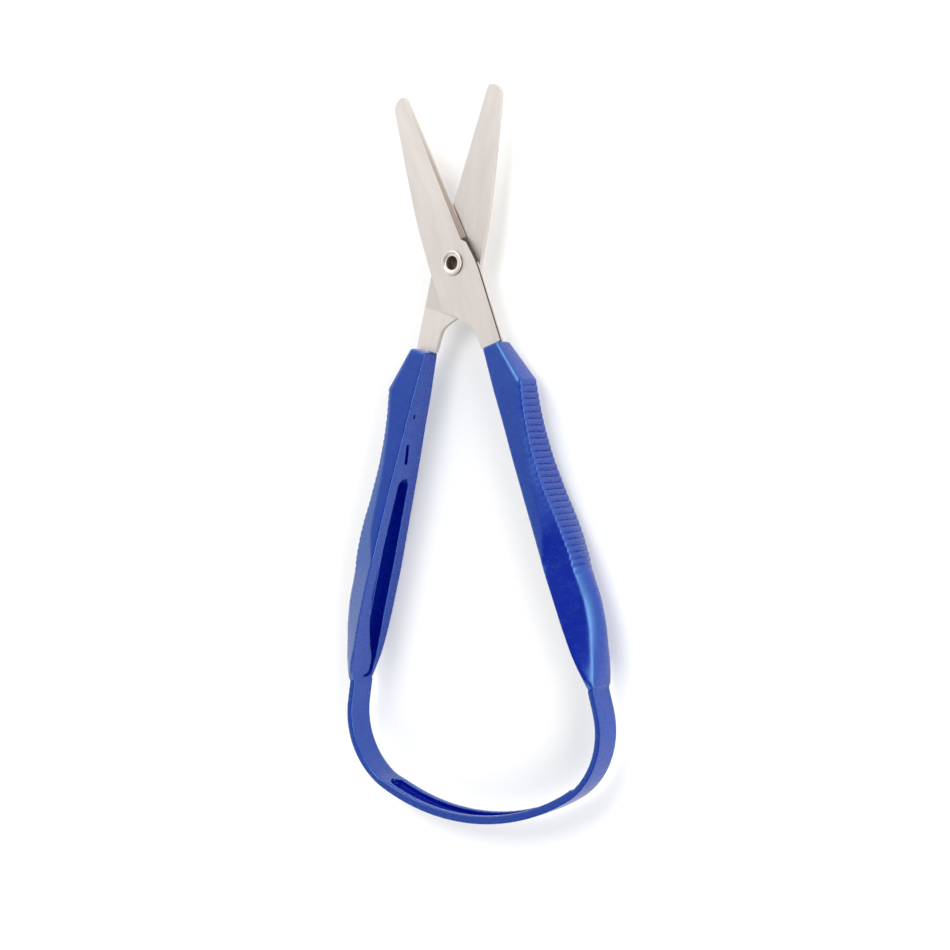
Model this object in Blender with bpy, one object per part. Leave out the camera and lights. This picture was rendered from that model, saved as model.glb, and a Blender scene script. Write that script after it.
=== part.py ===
"""Self-opening loop scissors, lying flat, modelled in metres with +Z up.

Two round-ended steel blades turn on a hollow rivet. The tang of each blade sits in a moulded
grip, and a springy band loops round behind the grips and joins them, so the blades part by
themselves when the hand relaxes. The band is one moulding with the grips on the real thing; here
it is a chain of short links, because it bends along its whole length.

The frame: +Y runs to the blade tips, +Z up along the rivet, and the origin is the middle of the
footprint. All the lengths below are millimetres in the pivot frame, whose origin is on the
rivet's axis, half-way up the grips. The outlines are those of the half whose grip is at +X; the
other half is its mirror image.
"""
from math import atan2, cos, pi, radians, sin, sqrt, tan

import bmesh
import bpy
from mathutils import Vector

MM = 0.001
CLEARANCE = 0.3                 # between pieces that touch on the real thing
RUNNING_CLEARANCE = 0.1         # radial, between the rivet and the blades

# The whole tool
TIP_REACH = 50.0                # from the pivot to the tips, along a closed blade
TIP_CORNER = (-0.2, 49.8)       # the foremost point of a blade at rest
LOOP_REACH = 155.5              # from the pivot back to the outside of the band
REST_ANGLE = 16.0               # each blade's turn from the closed position, in degrees
GRIP_HALF_HEIGHT = 7.7          # the widest part of a grip, which the tool rests on

# Blades
BLADE_THICKNESS = 1.5
BLADE_GAP = 0.3                 # between the two blades
BEVEL_WIDTH = 1.6               # the ground strip behind the cutting edge
BEVEL_TIP_WIDTH = 0.9
BEVEL_EDGE = 0.35               # what the grinding leaves of the thickness at the edge
WEDGE_REACH = 1.0               # how far the grinding's shape runs out past the edge
WEDGE_LENGTH = 1.3              # of the edge's own length, so that it runs out past the tip
TIP_RADIUS = 3.6
TIP_CENTRE = -1.2               # across the blade
TIP_ARC = (90.0, 172.0)         # from the cutting edge round to the back, in degrees
TIP_STEPS = 6
CUTTING_EDGE = [(5.9, 5.0), (0.3, 48.6)]
BACK_EDGE = [(-7.0, 24.0), (-7.8, 13.0), (-7.9, 4.0), (-7.7, -4.0), (-7.3, -11.5)]
HEEL_TO_TANG = [(0.0, -18.0), (0.8, -19.6), (1.5, -25.7)]
SHANK_OUTSIDE = [(8.1, -25.7), (7.6, -2.5)]
SHANK_END = -25.7               # the shoulder that stops on the grip
TANG_WIDTH = 3.2
TANG_INSIDE = 3.9               # the tang's inner side
TANG_LENGTH = 30.0
TANG_LEAN = radians(2.0)

# Rivet
RIVET_RADIUS = 2.5
RIVET_HOLE_RADIUS = 1.9
RIVET_RIM_RADIUS = 3.4
RIVET_RIM_HEIGHT = 0.55
RIVET_HEAD_RADIUS = 3.7
RIVET_HEAD_HEIGHT = 1.0
RIVET_FLOOR = 0.8               # what is left under the blind hole
ROUND_STEPS = 40

# Band
BAND_THICKNESS = 1.8
BAND_HALF_WIDTH = 4.3
BASE_RADIUS = 64.0              # of the band's middle line, behind the tool
BASE_TURN = radians(28.5)
CORNER_RADIUS = 22.0
CORNER_TURN = radians(73.5)
BASE_LENGTH = 35.2              # half of the channelled stretch, along the middle line
BASE_LINKS = 6
SIDE_LENGTH = 30.6              # from the channelled stretch up to the grip
SIDE_LINKS = 4
LIP_HEIGHT = 0.5                # the channel's lips, above the band's inner face
LIP_WIDTH = 1.1
OPEN_RUN = 0.0                  # where the chain of links is left open
OPEN_CLEARANCE = 1.0
LINK_END = ((0.0, 0.45), (0.25, 0.85), (0.6, 1.0))      # how a link's end rounds over: in, share

# Grip, station by station from the blade end: distance behind the pivot, inner and outer face
# across the tool, half heights of the inner and outer faces, how far the top slopes in from the
# outer face, and how far the outer face bulges
GRIP_SHOULDER = 36.2
GRIP_STATIONS = [
    (24.2, 9.7, 15.0, 3.0, 2.7, 0.6, 0.2),
    (GRIP_SHOULDER, 13.6, 22.8, 4.3, 3.8, 1.0, 0.2),
    (45.0, 16.5, 24.0, 4.9, 4.4, 1.3, 0.3),
    (55.0, 19.7, 26.3, 5.7, 5.0, 1.9, 0.3),
    (65.0, 23.0, 29.8, 6.4, 5.4, 2.8, 0.4),
    (74.0, 25.9, 33.9, 6.9, 5.3, 4.2, 0.7),
    (83.0, 28.8, 37.7, 7.4, 4.9, 7.0, 1.4),
    (88.0, 30.5, 39.3, 7.7, 4.6, 7.7, 1.8),
    (97.0, 33.4, 42.1, 7.7, 4.4, 7.1, 2.0),
    (104.0, 35.6, 42.9, 7.4, 4.4, 6.3, 1.8),
    (110.0, 37.6, 42.8, 6.8, 4.3, 4.3, 1.2),
    (114.0, 39.0, 42.3, 5.8, 4.3, 2.5, 0.6),
    (116.9, 39.6, 41.8, 4.3, 4.3, 0.4, 0.2),
]
GRIP_SLANT = 0.3                # the blade end is square to the grip, not to the tool
GRIP_RINGS_PER_STATION = 2
TOP_LAND = 0.4                  # the least flat beside the inner face, above
REST_LAND = 1.2                 # and below, where the tool rests on it
BULGE_STEPS = (1.0, 0.67, 0.33, 0.0, -0.33, -0.67, -1.0)

# Ribs on the grip's outer face
RIB_FIRST = 37.3
RIB_LAST = 85.0
RIB_PITCH = 1.72
RIB_GROOVE = 0.7
RIB_DEPTH = 0.4

# Slot in the grip's inner face: distance behind the pivot, top and bottom edge
SLOT_TOP_RADIUS = 2.2
SLOT_STATIONS = [
    (61.7, 2.2, -2.2),
    (74.0, 2.8, -2.8),
    (91.0, 3.5, -3.5),
    (100.0, 2.2, -3.6),
    (107.0, -0.2, -3.7),
    (113.5, -2.4, -3.6),
]
SLOT_DEPTH = 4.6
SLOT_WALL = 2.1                 # what the slot leaves of the grip behind it

REST = radians(REST_ANGLE)
FRONT = TIP_CORNER[0] * sin(REST) + TIP_CORNER[1] * cos(REST)
PIVOT = Vector((0.0, (LOOP_REACH - FRONT) / 2, GRIP_HALF_HEIGHT))


# ---------------------------------------------------------------- scene and materials

def clear_scene():
    for item in list(bpy.data.objects):
        bpy.data.objects.remove(item, do_unlink=True)


def make_material(name, colour, roughness, metallic=0.0):
    material = bpy.data.materials.new(name)
    material.use_nodes = True
    shader = material.node_tree.nodes["Principled BSDF"]
    shader.inputs["Base Color"].default_value = (*colour, 1.0)
    shader.inputs["Roughness"].default_value = roughness
    shader.inputs["Metallic"].default_value = metallic
    return material


def add_object(name, mesh, at, parent=None, material=None):
    """Put a mesh in the scene with its origin at a point of the pivot frame."""
    item = bpy.data.objects.new(name, mesh)
    bpy.context.collection.objects.link(item)
    place = (PIVOT + Vector(at)) * MM
    item["place"] = place
    item.parent = parent
    item.location = place - Vector(parent["place"]) if parent else place
    if material:
        mesh.materials.append(material)
    return item


def add_empty(name, parent=None):
    return add_object(name, None, (0.0, 0.0, 0.0), parent)


# ---------------------------------------------------------------- meshes

def build_mesh(name, make, at=(0.0, 0.0, 0.0)):
    """A mesh made by a function in millimetres of the pivot frame, its origin moved to a point."""
    shape = bmesh.new()
    make(shape)
    bmesh.ops.translate(shape, verts=shape.verts, vec=-Vector(at))
    bmesh.ops.scale(shape, verts=shape.verts, vec=(MM, MM, MM))
    bmesh.ops.recalc_face_normals(shape, faces=shape.faces)
    mesh = bpy.data.meshes.new(name)
    shape.to_mesh(mesh)
    shape.free()
    return mesh


def loft(shape, rings):
    """Skin closed rings of equally many points and cap both ends."""
    rows = [[shape.verts.new(point) for point in ring] for ring in rings]
    count = len(rows[0])
    for near, far in zip(rows, rows[1:]):
        for i in range(count):
            j = (i + 1) % count
            shape.faces.new((near[i], near[j], far[j], far[i]))
    shape.faces.new(rows[0])
    shape.faces.new(rows[-1])


def turned(shape, profile):
    """Turn a profile of (radius, height) about the pivot axis; its ends lie on the axis."""
    low = shape.verts.new((0.0, 0.0, profile[0][1]))
    high = shape.verts.new((0.0, 0.0, profile[-1][1]))
    rows = []
    for radius, height in profile[1:-1]:
        angles = [2 * pi * k / ROUND_STEPS for k in range(ROUND_STEPS)]
        rows.append([shape.verts.new((radius * cos(a), radius * sin(a), height)) for a in angles])
    for i in range(ROUND_STEPS):
        j = (i + 1) % ROUND_STEPS
        shape.faces.new((low, rows[0][j], rows[0][i]))
        shape.faces.new((high, rows[-1][i], rows[-1][j]))
        for near, far in zip(rows, rows[1:]):
            shape.faces.new((near[i], near[j], far[j], far[i]))


def knot_slope(before, here, there):
    """The slope of a curve through a knot, level where the values turn back or stay level."""
    left, right = [], []
    for i in range(1, len(here)):
        left.append((here[i] - before[i]) / (here[0] - before[0]) if before is not here else None)
        right.append((there[i] - here[i]) / (there[0] - here[0]) if there is not here else None)
    slopes = []
    for a, b in zip(left, right):
        if a is None or b is None:
            slopes.append(b if a is None else a)
        else:
            slopes.append(2 * a * b / (a + b) if a * b > 0 else 0.0)
    return slopes


def smooth_through(stations, distance):
    """Read a station table at a distance, on a smooth curve that never overshoots its rows."""
    last = len(stations) - 1
    k = 0
    while k < last - 1 and distance > stations[k + 1][0]:
        k += 1
    before, here, there, after = (stations[min(max(k + d, 0), last)] for d in (-1, 0, 1, 2))
    span = there[0] - here[0]
    t = (distance - here[0]) / span
    values = []
    slopes = zip(knot_slope(before, here, there), knot_slope(here, there, after))
    for i, (rise, fall) in enumerate(slopes, start=1):
        values.append((2 * t**3 - 3 * t**2 + 1) * here[i] + (t**3 - 2 * t**2 + t) * rise * span
                      + (3 * t**2 - 2 * t**3) * there[i] + (t**3 - t**2) * fall * span)
    return values


def cut(target, cutter):
    """Take the cutter's shape out of the target."""
    cutter.hide_render = True
    cutter.display_type = "WIRE"
    boolean = target.modifiers.new(cutter.name, "BOOLEAN")
    boolean.object = cutter
    boolean.operation = "DIFFERENCE"
    boolean.solver = "EXACT"


def mirrored(points, side):
    return [(side * x, *rest) for x, *rest in points]


# ---------------------------------------------------------------- blades and rivet

def tip_arc():
    """The rounded tip, from the cutting edge round to the back, of a closed blade."""
    centre_y = TIP_REACH - TIP_RADIUS
    first, last = TIP_ARC
    turns = [radians(first + (last - first) * k / TIP_STEPS) for k in range(TIP_STEPS + 1)]
    return [(TIP_CENTRE + TIP_RADIUS * cos(a), centre_y + TIP_RADIUS * sin(a)) for a in turns]


def tang_outline(grow=0.0):
    """The tang alone, as a closed outline, grown all round for the pocket that takes it."""
    inner = TANG_INSIDE - grow
    outer = TANG_INSIDE + TANG_WIDTH + grow
    end = SHANK_END - TANG_LENGTH - grow
    start = SHANK_END + grow
    lean = tan(TANG_LEAN) * TANG_LENGTH
    return [(outer, start), (inner, start), (inner + lean, end), (outer + lean, end)]


def blade_outline():
    """One closed blade, counter-clockwise from the heel of its cutting edge."""
    tang = tang_outline()
    outline = CUTTING_EDGE + [TIP_CORNER] + tip_arc() + BACK_EDGE + HEEL_TO_TANG
    outline += [tang[1], tang[2], tang[3], tang[0]]
    return outline + SHANK_OUTSIDE


def prism(shape, outline, low, high):
    loft(shape, [[(x, y, z) for x, y in outline] for z in (low, high)])


def bevel_wedge(shape, side, inner, outer):
    """What the grindstone takes off the blade's outer face, along the cutting edge."""
    heel, top = (Vector(point) for point in CUTTING_EDGE)
    along = (top - heel).normalized()
    across = Vector((-along.y, along.x))
    up = 1.0 if outer > inner else -1.0
    ground = BLADE_THICKNESS - BEVEL_EDGE
    rings = []
    for reach, width in ((0.0, BEVEL_WIDTH), (WEDGE_LENGTH, BEVEL_TIP_WIDTH)):
        slope = ground / width
        section = [(-WEDGE_REACH, BEVEL_EDGE - slope * WEDGE_REACH),
                   (width + WEDGE_REACH, BLADE_THICKNESS + slope * WEDGE_REACH),
                   (-WEDGE_REACH, BLADE_THICKNESS + slope * WEDGE_REACH)]
        spot = heel + (top - heel) * reach
        rings.append([(side * (spot.x + across.x * a), spot.y + across.y * a, inner + up * z)
                      for a, z in section])
    loft(shape, rings)


def add_blade(name, side, inner, outer, parent, material):
    """A blade whose mating face is at height inner and whose outer face is at height outer."""
    outline = mirrored(blade_outline(), side)
    blade = add_object(name, build_mesh(name, lambda s: prism(s, outline, inner, outer)),
                       (0.0, 0.0, 0.0), parent, material)
    wedge = add_object(name + "_grinding",
                       build_mesh(name + "_grinding", lambda s: bevel_wedge(s, side, inner, outer)),
                       (0.0, 0.0, 0.0), parent)
    radius = RIVET_RADIUS + RUNNING_CLEARANCE
    low, high = min(inner, outer) - 1.0, max(inner, outer) + 1.0
    profile = [(0.0, low), (radius, low), (radius, high), (0.0, high)]
    hole = add_object(name + "_hole", build_mesh(name + "_hole", lambda s: turned(s, profile)),
                      (0.0, 0.0, 0.0), parent)
    for item in (blade, wedge, hole):
        item.rotation_euler.z = side * REST
    cut(blade, wedge)
    cut(blade, hole)
    return blade


def add_rivet(parent, material):
    """A semi-tubular rivet: a solid head below, and a rolled rim round its hole above."""
    outside = BLADE_GAP / 2 + BLADE_THICKNESS
    below = -outside - RUNNING_CLEARANCE
    above = outside + RUNNING_CLEARANCE
    top = above + RIVET_RIM_HEIGHT
    hole = RIVET_HOLE_RADIUS
    rim = RIVET_RIM_RADIUS
    profile = [
        (0.0, below - RIVET_HEAD_HEIGHT),
        (RIVET_HEAD_RADIUS * 0.6, below - RIVET_HEAD_HEIGHT),
        (RIVET_HEAD_RADIUS * 0.9, below - RIVET_HEAD_HEIGHT * 0.6),
        (RIVET_HEAD_RADIUS, below),
        (RIVET_RADIUS, below),
        (RIVET_RADIUS, above),
        (rim, above),
        (rim - 0.1, above + RIVET_RIM_HEIGHT * 0.6),
        ((rim + hole) / 2 + 0.1, top),
        (hole + 0.2, top - 0.1),
        (hole, top - 0.5),
        (hole, below + RIVET_FLOOR),
        (0.0, below + RIVET_FLOOR),
    ]
    rivet = add_object("rivet", build_mesh("rivet", lambda s: turned(s, profile)),
                       (0.0, 0.0, 0.0), parent, material)
    rivet.data.shade_smooth()
    rivet.data.set_sharp_from_angle(angle=radians(35))


# ---------------------------------------------------------------- grips

def grip_section(distance):
    """One ring of the grip at a distance behind the pivot, starting at its inner top edge."""
    straight = distance <= GRIP_SHOULDER
    table = GRIP_STATIONS[:2] if straight else GRIP_STATIONS[1:]
    inner, outer, inner_half, outer_half, slope, bulge = smooth_through(table, distance)
    start = GRIP_STATIONS[0][0]
    share = (distance - start) / (GRIP_STATIONS[-1][0] - start)
    end_slant = tan(BASE_TURN + CORNER_TURN - pi / 2)
    slant = GRIP_SLANT * (1 - share) + end_slant * share
    flat = outer - bulge - slope
    points = [(inner, inner_half), (max(flat, inner + TOP_LAND), inner_half)]
    points += [(outer - bulge * k * k, outer_half * k) for k in BULGE_STEPS]
    points += [(max(flat, inner + REST_LAND), -inner_half), (inner, -inner_half)]
    return [(x, -distance + slant * (x - inner), z) for x, z in points]


def grip_distances():
    distances = []
    for here, there in zip(GRIP_STATIONS, GRIP_STATIONS[1:]):
        step = (there[0] - here[0]) / GRIP_RINGS_PER_STATION
        distances += [here[0] + step * k for k in range(GRIP_RINGS_PER_STATION)]
    return distances + [GRIP_STATIONS[-1][0]]


def slot_cutter(shape, side):
    """The slot's hollow: a round blade end, then its edges, with a floor that rises at the end."""
    first, end = SLOT_STATIONS[0][0], SLOT_STATIONS[-1][0]
    distances = [first - SLOT_TOP_RADIUS * cos(radians(a)) for a in (10, 35, 60)]
    distances += [first + (end - first) * k / 12 for k in range(13)]
    rings = []
    for distance in distances:
        inner, outer = smooth_through(GRIP_STATIONS[1:], distance)[:2]
        if distance < first:
            reach = first - distance
            top = sqrt(SLOT_TOP_RADIUS**2 - reach**2)
            bottom = -top
        else:
            top, bottom = smooth_through(SLOT_STATIONS, distance)
        floor = inner + min(SLOT_DEPTH, outer - inner - SLOT_WALL)
        rings.append([(side * x, -distance, z) for x, z in
                      ((inner - 2, top), (floor, top), (floor, bottom), (inner - 2, bottom))])
    loft(shape, rings)


def rib_cutter(shape, side):
    """The grooves between the ribs: thin blocks square to the grip's outer face."""
    count = int((RIB_LAST - RIB_FIRST) / RIB_PITCH)
    for k in range(count):
        distance = RIB_FIRST + RIB_PITCH * k
        values = smooth_through(GRIP_STATIONS[1:], distance)
        ahead = smooth_through(GRIP_STATIONS[1:], distance + 1.0)
        outer, half = values[1], values[3]
        lean = atan2(ahead[1] - outer, 1.0)
        fade = min(1.0, (count - k) / 6)
        depth = (RIB_DEPTH + values[5]) * fade
        out = Vector((cos(lean), sin(lean)))
        along = Vector((sin(lean), -cos(lean)))
        middle = Vector((outer, -distance))
        corners = []
        for reach, run in ((-depth, -1), (1.0, -1), (1.0, 1), (-depth, 1)):
            spot = middle + out * reach + along * run * RIB_GROOVE / 2
            corners.append((side * spot.x, spot.y))
        prism(shape, corners, -half - 0.1, half + 0.1)


def add_grip(name, side, blade_z, parent, material):
    distances = grip_distances()
    rings = [mirrored(grip_section(distance), side) for distance in distances]
    grip = add_object(name, build_mesh(name, lambda s: loft(s, rings)), (0.0, 0.0, 0.0), parent,
                      material)
    slot = add_object(name + "_slot", build_mesh(name + "_slot", lambda s: slot_cutter(s, side)),
                      (0.0, 0.0, 0.0), parent)
    ribs = add_object(name + "_ribs", build_mesh(name + "_ribs", lambda s: rib_cutter(s, side)),
                      (0.0, 0.0, 0.0), parent)
    outline = mirrored(tang_outline(CLEARANCE), side)
    low, high = blade_z[0] - CLEARANCE, blade_z[1] + CLEARANCE
    pocket = add_object(name + "_pocket",
                        build_mesh(name + "_pocket", lambda s: prism(s, outline, low, high)),
                        (0.0, 0.0, 0.0), parent)
    pocket.rotation_euler.z = side * REST
    for cutter in (slot, ribs, pocket):
        cut(grip, cutter)


# ---------------------------------------------------------------- band

def band_point(run):
    """The band's middle line at a run from the bottom centre: its place and its direction."""
    side = 1.0 if run >= 0 else -1.0
    run = abs(run)
    base_run = BASE_RADIUS * BASE_TURN
    corner_run = CORNER_RADIUS * CORNER_TURN
    bottom = -LOOP_REACH + BAND_THICKNESS / 2
    turn = min(run / BASE_RADIUS, BASE_TURN)
    x = BASE_RADIUS * sin(turn)
    y = bottom + BASE_RADIUS * (1 - cos(turn))
    if run > base_run:
        turn = BASE_TURN + min((run - base_run) / CORNER_RADIUS, CORNER_TURN)
        x += CORNER_RADIUS * (sin(turn) - sin(BASE_TURN))
        y += CORNER_RADIUS * (cos(BASE_TURN) - cos(turn))
    straight = max(run - base_run - corner_run, 0.0)
    x += straight * cos(turn)
    y += straight * sin(turn)
    return side * x, y, side * turn


def link_mesh(shape, start, end, channelled):
    """One link between two runs of the band, its ends rounded so that it can hinge there."""
    half = BAND_THICKNESS / 2
    start += (OPEN_CLEARANCE if start == OPEN_RUN else CLEARANCE) / 2
    end -= (OPEN_CLEARANCE if end == OPEN_RUN else CLEARANCE) / 2
    runs = [(start + reach, share) for reach, share in LINK_END]
    runs += [((start + end) / 2, 1.0)]
    runs += [(end - reach, share) for reach, share in reversed(LINK_END)]
    rings = []
    for run, share in runs:
        x, y, turn = band_point(run)
        inward = Vector((-sin(turn), cos(turn)))
        width = BAND_HALF_WIDTH
        section = [(-half, -width), (-half, width), (half, width)]
        if channelled:
            lip = half + LIP_HEIGHT
            section = [(-half, -width), (-half, width), (lip, width), (lip, width - LIP_WIDTH),
                       (half, width - LIP_WIDTH), (half, -width + LIP_WIDTH),
                       (lip, -width + LIP_WIDTH), (lip, -width)]
        else:
            section.append((half, -width))
        rings.append([(x + inward.x * reach * share, y + inward.y * reach * share, z)
                      for reach, z in section])
    loft(shape, rings)


def band_runs():
    """The runs at which the band's links meet, from the left grip round to the right one."""
    base = [BASE_LENGTH * (2 * k / BASE_LINKS - 1) for k in range(BASE_LINKS + 1)]
    side = [BASE_LENGTH + SIDE_LENGTH * (k + 1) / SIDE_LINKS for k in range(SIDE_LINKS)]
    return [-run for run in reversed(side)] + base + side


def link_names():
    left = ["band_left_%d" % (k + 1) for k in range(SIDE_LINKS)]
    base = ["band_base_%d" % (k + 1) for k in range(BASE_LINKS)]
    right = ["band_right_%d" % (k + 1) for k in reversed(range(SIDE_LINKS))]
    return left + base + right


def add_band(left_half, right_half, material):
    """Chain the links: each grip carries those on its side of the open point."""
    runs = band_runs()
    names = link_names()
    spans = list(zip(names, runs, runs[1:]))
    from_left = [span for span in spans if span[1] < OPEN_RUN]
    from_right = [span for span in reversed(spans) if span[1] >= OPEN_RUN]
    for chain, first_parent, end in ((from_left, left_half, 1), (from_right, right_half, 2)):
        parent = first_parent
        for span in chain:
            name, start, stop = span
            x, y, _ = band_point(span[end])
            hinge = (x, y, 0.0)
            channelled = name.startswith("band_base")
            mesh = build_mesh(name, lambda s: link_mesh(s, start, stop, channelled), hinge)
            parent = add_object(name, mesh, hinge, parent, material)


# ---------------------------------------------------------------- assembly

def main():
    clear_scene()
    plastic = make_material("blue_plastic", (0.035, 0.095, 0.42), 0.38)
    steel = make_material("blade_steel", (0.72, 0.68, 0.66), 0.34, 1.0)
    rivet_steel = make_material("rivet_steel", (0.62, 0.59, 0.56), 0.25, 1.0)
    left_half = add_empty("left_half")
    right_half = add_empty("right_half", left_half)
    near = BLADE_GAP / 2
    far = near + BLADE_THICKNESS
    add_blade("lower_blade", -1, -near, -far, left_half, steel)
    add_blade("upper_blade", 1, near, far, right_half, steel)
    add_rivet(left_half, rivet_steel)
    add_grip("left_grip", -1, (-far, -near), left_half, plastic)
    add_grip("right_grip", 1, (near, far), right_half, plastic)
    add_band(left_half, right_half, plastic)


main()
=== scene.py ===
"""Self-opening loop scissors: the looks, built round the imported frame.

Lengths are millimetres in the pivot frame, as in the part's own source: the origin is on the
rivet's axis, half-way up the grips, +Y runs to the blade tips and +Z up. The half whose grip is
at +X is drawn and the other is its mirror. world() turns such a point into metres of the row
frame. The moulding is one continuous skin on the real thing, so it is lofted through one kind of
ring from the blade end of a grip to the bottom of the loop, and split only in the middle of each
link and at the bottom, where the body tree leaves the loop open.
"""
from math import atan2, cos, exp, pi, radians, sin, sqrt, tan

import bmesh
import bpy
from mathutils import Matrix, Vector

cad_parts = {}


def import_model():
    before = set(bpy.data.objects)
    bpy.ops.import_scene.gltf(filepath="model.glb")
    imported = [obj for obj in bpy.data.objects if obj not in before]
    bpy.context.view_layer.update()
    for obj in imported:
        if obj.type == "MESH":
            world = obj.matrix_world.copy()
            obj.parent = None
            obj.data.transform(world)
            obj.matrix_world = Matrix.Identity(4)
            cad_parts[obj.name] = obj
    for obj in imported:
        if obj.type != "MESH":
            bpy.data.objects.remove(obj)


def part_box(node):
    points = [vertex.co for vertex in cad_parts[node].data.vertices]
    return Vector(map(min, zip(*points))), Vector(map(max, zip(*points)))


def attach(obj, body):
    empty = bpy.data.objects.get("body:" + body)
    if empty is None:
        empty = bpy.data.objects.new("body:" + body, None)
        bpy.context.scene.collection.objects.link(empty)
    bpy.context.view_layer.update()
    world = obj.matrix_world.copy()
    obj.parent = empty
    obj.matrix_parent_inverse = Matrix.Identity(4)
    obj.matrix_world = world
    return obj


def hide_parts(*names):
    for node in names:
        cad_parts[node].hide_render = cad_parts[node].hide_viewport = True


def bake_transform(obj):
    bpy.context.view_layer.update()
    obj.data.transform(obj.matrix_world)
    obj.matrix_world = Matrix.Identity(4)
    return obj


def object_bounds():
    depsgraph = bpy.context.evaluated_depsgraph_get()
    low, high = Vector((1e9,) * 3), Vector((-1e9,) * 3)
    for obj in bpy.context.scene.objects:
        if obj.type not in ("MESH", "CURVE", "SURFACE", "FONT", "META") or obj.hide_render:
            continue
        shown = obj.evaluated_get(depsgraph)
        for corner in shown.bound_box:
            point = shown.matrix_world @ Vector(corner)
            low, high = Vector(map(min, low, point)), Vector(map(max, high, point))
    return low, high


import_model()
CAD_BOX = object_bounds()

MM = 0.001


def box_mm(node):
    """A node's corners in millimetres of the row frame."""
    low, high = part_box(node)
    return low / MM, high / MM


RIVET_BOX = box_mm("rivet")
GRIP_BOX = box_mm("right_grip")
UPPER_BOX = box_mm("upper_blade")
LOWER_BOX = box_mm("lower_blade")
PIVOT = Vector(((RIVET_BOX[0].x + RIVET_BOX[1].x) / 2, (RIVET_BOX[0].y + RIVET_BOX[1].y) / 2,
                (GRIP_BOX[0].z + GRIP_BOX[1].z) / 2))
LOOP_REACH = PIVOT.y - CAD_BOX[0].y / MM       # from the pivot back to the outside of the band
REST = radians(16.0)                           # each blade's turn from the closed position

# Grip, station by station from the blade end: distance behind the pivot, inner and outer face
# across the tool, half heights of the inner and outer faces, how far the top slopes in from the
# outer face, and how far the outer face bulges
GRIP_SHOULDER = 36.2
GRIP_STATIONS = [
    (24.2, 9.7, 15.0, 3.0, 2.7, 0.6, 0.2),
    (GRIP_SHOULDER, 13.6, 22.8, 4.3, 3.8, 1.0, 0.2),
    (45.0, 16.5, 24.0, 4.9, 4.4, 1.3, 0.3),
    (55.0, 19.7, 26.3, 5.7, 5.0, 1.9, 0.3),
    (65.0, 23.0, 29.8, 6.4, 5.4, 2.8, 0.4),
    (74.0, 25.9, 33.9, 6.9, 5.3, 4.2, 0.7),
    (83.0, 28.8, 37.7, 7.4, 4.9, 7.0, 1.4),
    (88.0, 30.5, 39.3, 7.7, 4.6, 7.7, 1.8),
    (97.0, 33.4, 42.1, 7.7, 4.4, 7.1, 2.0),
    (104.0, 35.6, 42.9, 7.4, 4.5, 5.6, 1.8),
    (110.0, 37.6, 42.8, 6.8, 4.6, 3.3, 1.2),
    (114.0, 39.0, 42.3, 5.8, 4.5, 1.7, 0.6),
    (116.9, 39.6, 41.8, 4.3, 4.3, 0.4, 0.2),
]
GRIP_START, GRIP_END = GRIP_STATIONS[0][0], GRIP_STATIONS[-1][0]
GRIP_SLANT = 0.3                # the blade end is square to the grip, not to the tool
TOP_LAND = 0.4                  # the least flat beside the inner face, above
REST_LAND = 1.2                 # and below, where the tool rests on it
EDGE_RADIUS = 0.5
RIDGE_RADIUS = 0.7              # between the flat top and the sloping part
OUTER_RADIUS = 0.8
SOFT_RADIUS = 1.4               # towards the band the outer edge is rounder
SOFT_FROM, SOFT_RAMP = 96.0, 8.0
RIB_EDGE_RADIUS = 0.45
RING_STEP = 0.6                 # between rings where nothing smaller needs them
PLAIN_END = 0.8                 # such rings stop at least this far from the band's end
HAIR = 0.02                     # how close to the end of a slot its last ring is
ROUND_ANGLES = (8, 20, 32, 45, 60, 75)      # the rings round the slot's blade end, in degrees
HOOK_STEP, HOOK_RINGS = 0.12, 23            # and up to its other end
START_ROUNDING = ((0.0, 0.45), (0.08, 0.22), (0.25, 0.06))     # distance from the blade end, inset
END_STEPS = ((0.16, 0.08), (0.04, 0.3))     # distance from the band's end, step down to the band

# Ribs on the outer face
RIB_FIRST = 37.3
RIB_LAST = 90.0
RIB_PITCH = 1.72
RIB_DEPTH = 0.55
RIB_GROOVE = 0.42               # half width of the groove
RIB_RINGS = (-0.66, -0.5, -0.35, -0.2, 0.0, 0.2, 0.35, 0.5, 0.66, 0.86)
RIB_FADE = 2                    # the last ribs run out
GROOVE_END = 0.28               # of the depth is left at the edges of the outer face

# Slot in the inner face, ending in a narrow hook round the tongue: distance, top and bottom edge
SLOT_START_RADIUS = 2.2
SLOT_STATIONS = [
    (61.7, 2.2, -2.2),
    (74.0, 2.8, -2.8),
    (91.0, 3.5, -3.5),
    (100.0, 2.2, -3.7),
    (107.0, -0.3, -4.0),
    (112.5, -2.6, -4.2),
    (114.6, -2.5, -4.0),
    (115.4, -1.7, -3.7),
    (115.9, 0.0, -3.1),
    (116.4, 0.3, -1.6),
]
SLOT_DEPTH = 4.6
SLOT_WALL = 1.3
SLOT_LEAST = 0.9
SLOT_DRAFT = 0.08
SLOT_LIP = 0.3

# Small recesses in the inner face: distance, length, height, place up or down at either end, depth
SLIT = (52.6, 6.2, 1.3, 1.0, 2.0, 1.4)
DIMPLE = (42.0, 1.5, 0.8, 1.7, 1.8, 0.5)
RECESS_START = -0.5             # its cutter starts this far outside the face

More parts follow.
